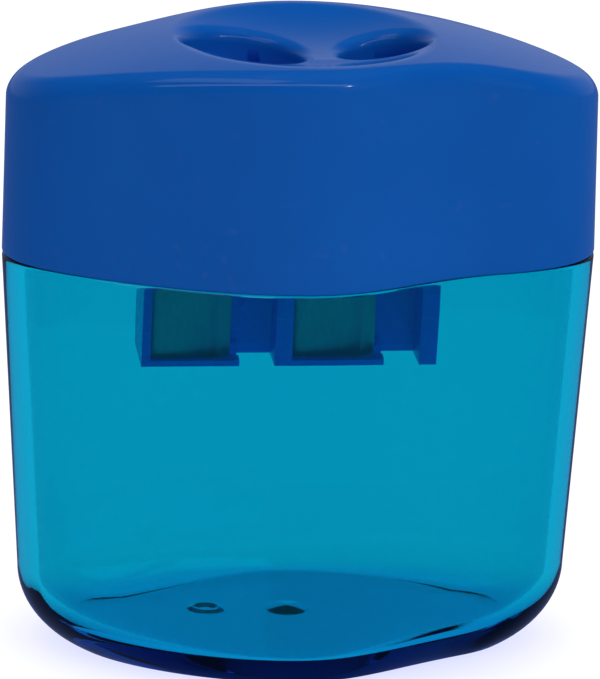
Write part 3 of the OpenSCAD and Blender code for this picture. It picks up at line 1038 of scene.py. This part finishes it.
def dress(made, material, body, slot, *nodes):
    """Gives a piece its material, its body and the CAD nodes that it stands for."""
    made.data.materials.clear()
    made.data.materials.append(material)
    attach(made, body)
    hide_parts(*nodes)


dyed = clear_plastic()
canister = make_canister(dyed)
shade(canister, 22)
dress(canister, dyed, "canister", "clear_canister", "canister")

lid = make_lid()
shade(lid, 40)
lid_blue = moulded_plastic("glossy blue lid plastic", "#084C9A", "#0A50A0", 0.1)
dress(lid, lid_blue, "lid", "blue_lid", "lid")

block = make_block()
shade(block, 40)
block_blue = moulded_plastic("semi-gloss blue block plastic", "#4A66EE", "#5070F6", 0.25)
dress(block, block_blue, "lid", "blue_block", "sharpener_block")

steel = ground_steel()
blades = make_blades(steel)
shade(blades, 30)
dress(blades, steel, "lid", "blade_steel", "large_blade", "small_blade")

plating = plated_steel()
screws = make_screws(plating)
shade(screws, 40)
dress(screws, plating, "lid", "screw_steel", "large_blade_screw", "small_blade_screw")


# --- Stage, light and camera ----------------------------------------------------------------------

# A hair below the foot, so that the two don't share a plane
FLOOR_HEIGHT = -0.02
FLOOR_REACH = 3000

# Each light in metres and watts: place, the point that it faces, size, power, and whether gloss shows it
LIGHTS = {
    "overhead": ((0, 0.1, 1.2), (0, 0, 0), (1.6, 1.6), 20, False),
    "front": ((0.75, -0.95, 0.65), (0, 0, 0.04), (1.1, 0.8), 8, False),
    "spark": ((0.42, -0.6, 0.48), (0, 0, 0.06), (0.05, 0.05), 0.12, True),
    "streak": ((-0.32, -0.3, 0.9), (0, 0, 0.06), (0.6, 0.3), 0.3, True),
    "edge strip": ((-0.1, -0.62, 0.68), (0, 0, 0.06), (1.3, 0.12), 0.5, True),
}

# Surroundings
BACKDROP_STRENGTH = 0.26
CLOTH_STRENGTH = 0.27
CLOTH_OVERHEAD = 0.04

# Camera: where it stands round the object, how it is tipped, and what it aims at, in metres
CAMERA_AZIMUTH = math.radians(-6.716)
CAMERA_ELEVATION = math.radians(17.035)
CAMERA_TIP = math.radians(1.557)
CAMERA_DISTANCE = 0.50272
CAMERA_AIM = Vector((0.0003, 0, 0.03155))
CAMERA_LENS = 263.1
CAMERA_SENSOR = 36


def make_floor():
    shape = Shape()
    shape.add(level(circle(FLOOR_REACH, 4), FLOOR_HEIGHT), [(0, 1, 2, 3)])
    floor = shape.piece("floor")
    floor.data.materials.append(light_table())
    floor.visible_glossy = False


def make_lights():
    for name, (place, target, size, power, shows_in_gloss) in LIGHTS.items():
        data = bpy.data.lights.new(name, "AREA")
        data.shape = "RECTANGLE"
        data.size, data.size_y = size
        data.energy = power
        made = bpy.data.objects.new(name, data)
        made.location = place
        made.rotation_mode = "QUATERNION"
        made.rotation_quaternion = (Vector(target) - Vector(place)).to_track_quat("-Z", "Y")
        made.visible_glossy = shows_in_gloss
        made.visible_camera = False
        bpy.context.scene.collection.objects.link(made)


def make_world():
    """Studio surroundings: a bright low backdrop behind, and a dim blue cloth all round, which is
    darker overhead."""
    world = bpy.data.worlds.new("studio")
    bpy.context.scene.world = world
    world.use_nodes = True
    tree = world.node_tree
    tree.nodes.clear()
    way = add(tree, "ShaderNodeTexCoord").outputs["Generated"]
    parts = add(tree, "ShaderNodeSeparateXYZ", {"Vector": way}).outputs
    behind = add(tree, "ShaderNodeMapRange", {
        "Value": parts["Y"], "From Min": -0.2, "From Max": 0.7,
    }, interpolation_type="SMOOTHSTEP")
    low = add(tree, "ShaderNodeMapRange", {
        "Value": parts["Z"], "From Min": 0.3, "From Max": 0.75, "To Min": 1.0, "To Max": 0.0,
    }, interpolation_type="SMOOTHSTEP")
    below = add(tree, "ShaderNodeMapRange", {
        "Value": parts["Z"], "From Min": -0.02, "From Max": 0.02, "To Min": 0.3, "To Max": 1.0,
    })
    share = add(tree, "ShaderNodeMath", {0: behind, 1: low}, operation="MULTIPLY")
    share = add(tree, "ShaderNodeMath", {0: share, 1: below}, operation="MULTIPLY")
    strength = add(tree, "ShaderNodeMath", {0: share, 1: BACKDROP_STRENGTH}, operation="MULTIPLY")
    backdrop = add(tree, "ShaderNodeBackground", {"Color": linear("#F4F7FA"), "Strength": strength})
    overhead = add(tree, "ShaderNodeMapRange", {
        "Value": parts["Z"], "From Min": 0.1, "From Max": 0.5,
        "To Min": CLOTH_STRENGTH, "To Max": CLOTH_OVERHEAD,
    })
    cloth = add(tree, "ShaderNodeBackground", {"Color": linear("#5080F0"), "Strength": overhead})
    both = add(tree, "ShaderNodeAddShader", {0: backdrop, 1: cloth})
    add(tree, "ShaderNodeOutputWorld", {"Surface": both})


def make_camera():
    """A long lens a little to the left and above, with the camera tipped slightly."""
    ahead = Vector((
        -math.sin(CAMERA_AZIMUTH) * math.cos(CAMERA_ELEVATION),
        math.cos(CAMERA_AZIMUTH) * math.cos(CAMERA_ELEVATION),
        -math.sin(CAMERA_ELEVATION),
    ))
    right = Vector((math.cos(CAMERA_AZIMUTH), math.sin(CAMERA_AZIMUTH), 0))
    up = right.cross(ahead)
    tipped_right = right * math.cos(CAMERA_TIP) + up * math.sin(CAMERA_TIP)
    tipped_up = up * math.cos(CAMERA_TIP) - right * math.sin(CAMERA_TIP)
    turn = Matrix((tipped_right, tipped_up, -ahead)).transposed()
    data = bpy.data.cameras.new("camera")
    data.lens = CAMERA_LENS
    data.sensor_width = CAMERA_SENSOR
    made = bpy.data.objects.new("camera", data)
    made.matrix_world = Matrix.Translation(CAMERA_AIM - ahead * CAMERA_DISTANCE) @ turn.to_4x4()
    bpy.context.scene.collection.objects.link(made)
    bpy.context.scene.camera = made


make_floor()
make_lights()
make_world()
make_camera()

scene = bpy.context.scene
scene.view_settings.view_transform = "Standard"
scene.view_settings.look = "None"
scene.cycles.use_denoising = True
scene.cycles.max_bounces = 24
scene.cycles.transmission_bounces = 20
scene.cycles.transparent_max_bounces = 16
